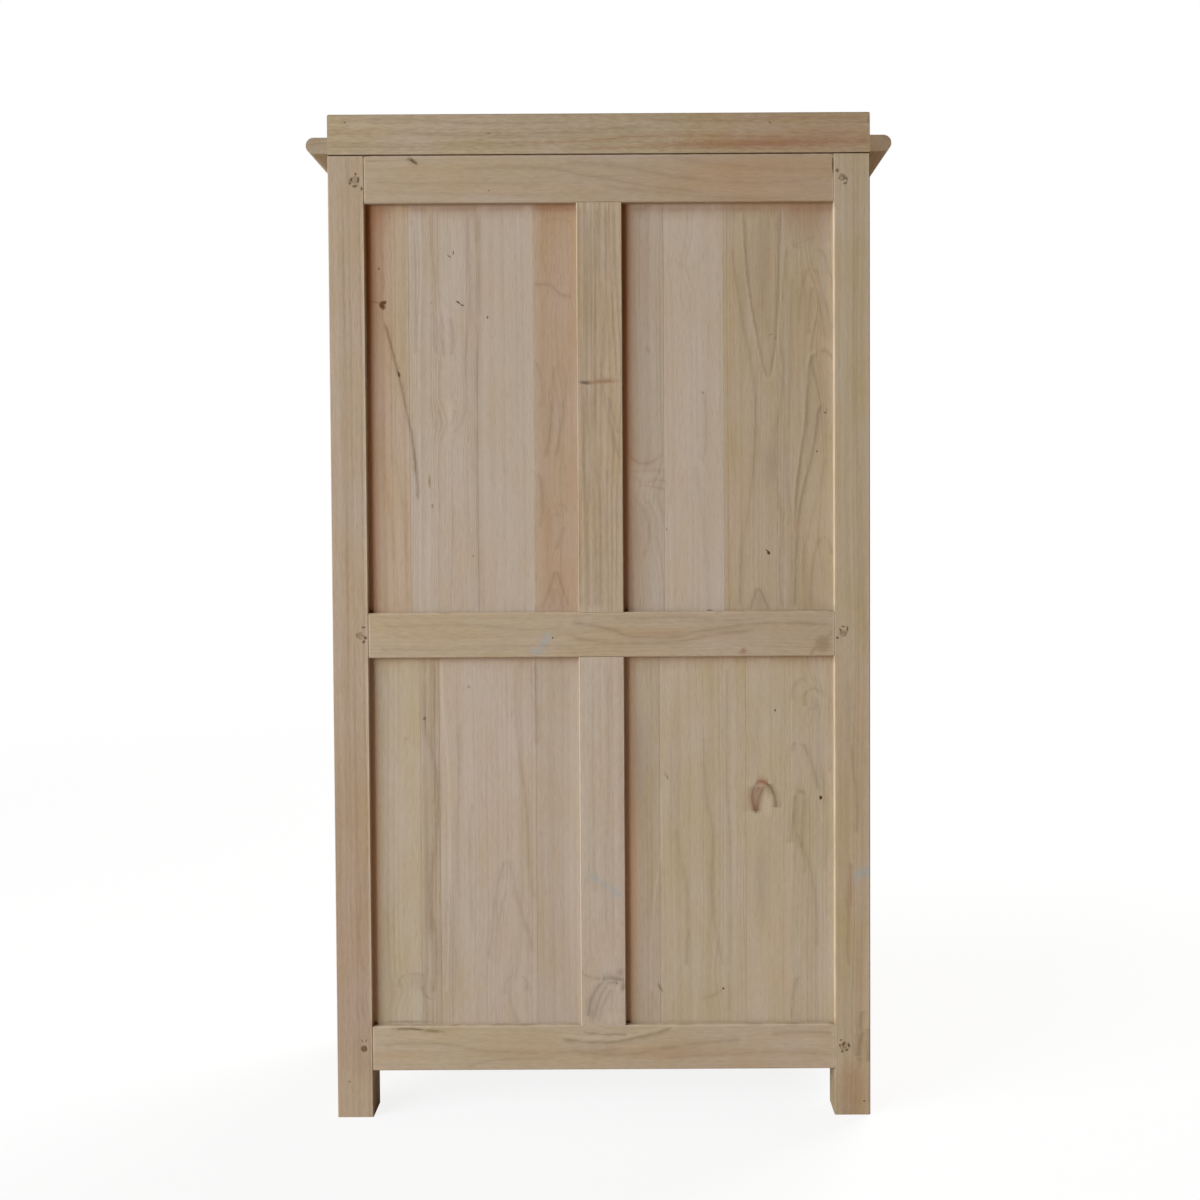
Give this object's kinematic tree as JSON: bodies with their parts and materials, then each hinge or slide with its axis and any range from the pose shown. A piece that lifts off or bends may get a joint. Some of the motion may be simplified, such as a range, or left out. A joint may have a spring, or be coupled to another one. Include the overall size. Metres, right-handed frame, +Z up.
{
  "type": "bar cabinet",
  "caption": "Tall free-standing bar cabinet of pegged frame and panel work, with a half-round cornice, panelled doors, stemware rails, a shelf, a counter and crossed bottle bins.",
  "frame": {"origin": "on the floor, in the middle of the outer box", "axes": "+X to the right seen from the doors, +Y towards the panelled back, +Z up"},
  "size_m": [0.982, 0.45, 1.7],
  "materials": {
    "frame_wood": "bare, sanded",
    "panel_wood": "bare, sanded, glued up from staves",
    "peg_end_grain": "bare end grain",
    "hinge_iron": "blackened"
  },
  "bodies": {
    "carcass": {"post_back_left": "frame_wood", "post_back_right": "frame_wood", "post_front_left": "frame_wood", "post_front_right": "frame_wood", "rail_back_top": "frame_wood", "rail_back_middle": "frame_wood", "rail_back_bottom": "frame_wood", "muntin_back_upper": "frame_wood", "muntin_back_lower": "frame_wood", "panel_back_upper_left": "panel_wood", "panel_back_upper_right": "panel_wood", "panel_back_lower_left": "panel_wood", "panel_back_lower_right": "panel_wood", "rail_left_top": "frame_wood", "rail_left_middle": "frame_wood", "rail_left_bottom": "frame_wood", "panel_left_upper": "panel_wood", "panel_left_lower": "panel_wood", "rail_right_top": "frame_wood", "rail_right_middle": "frame_wood", "rail_right_bottom": "frame_wood", "panel_right_upper": "panel_wood", "panel_right_lower": "panel_wood", "rail_front_top": "frame_wood", "rail_front_bottom": "frame_wood", "board_bottom": "frame_wood", "board_counter": "frame_wood", "board_ceiling": "frame_wood", "crown_back": "frame_wood", "crown_front": "frame_wood", "crown_left": "frame_wood", "crown_right": "frame_wood", "crown_top_panel": "panel_wood", "moulding_front": "frame_wood", "moulding_left": "frame_wood", "moulding_right": "frame_wood", "shelf": "frame_wood", "stemware_rails": "frame_wood", "bin_board_rising": "frame_wood", "bin_board_falling": "frame_wood", "hinges_carcass_leaves": "hinge_iron", "pegs": "peg_end_grain"},
    "door_left": {"door_left_hinge_stile": "frame_wood", "door_left_meeting_stile": "frame_wood", "door_left_top_rail": "frame_wood", "door_left_middle_rail": "frame_wood", "door_left_bottom_rail": "frame_wood", "door_left_upper_panel": "panel_wood", "door_left_lower_panel": "panel_wood", "hinges_left_leaves": "hinge_iron", "knob_left": "frame_wood"},
    "door_right": {"door_right_hinge_stile": "frame_wood", "door_right_meeting_stile": "frame_wood", "door_right_top_rail": "frame_wood", "door_right_middle_rail": "frame_wood", "door_right_bottom_rail": "frame_wood", "door_right_upper_panel": "panel_wood", "door_right_lower_panel": "panel_wood", "hinges_right_leaves": "hinge_iron", "knob_right": "frame_wood"}
  },
  "joints": [
    {"name": "door_left_swing", "type": "hinge", "parent": "carcass", "child": "door_left", "pos_m": [-0.39275, -0.1934, 0.8525], "axis": [0, 0, -1], "range_deg": [0, 170]},
    {"name": "door_right_swing", "type": "hinge", "parent": "carcass", "child": "door_right", "pos_m": [0.39275, -0.1934, 0.8525], "axis": [0, 0, 1], "range_deg": [0, 170]}
  ]
}
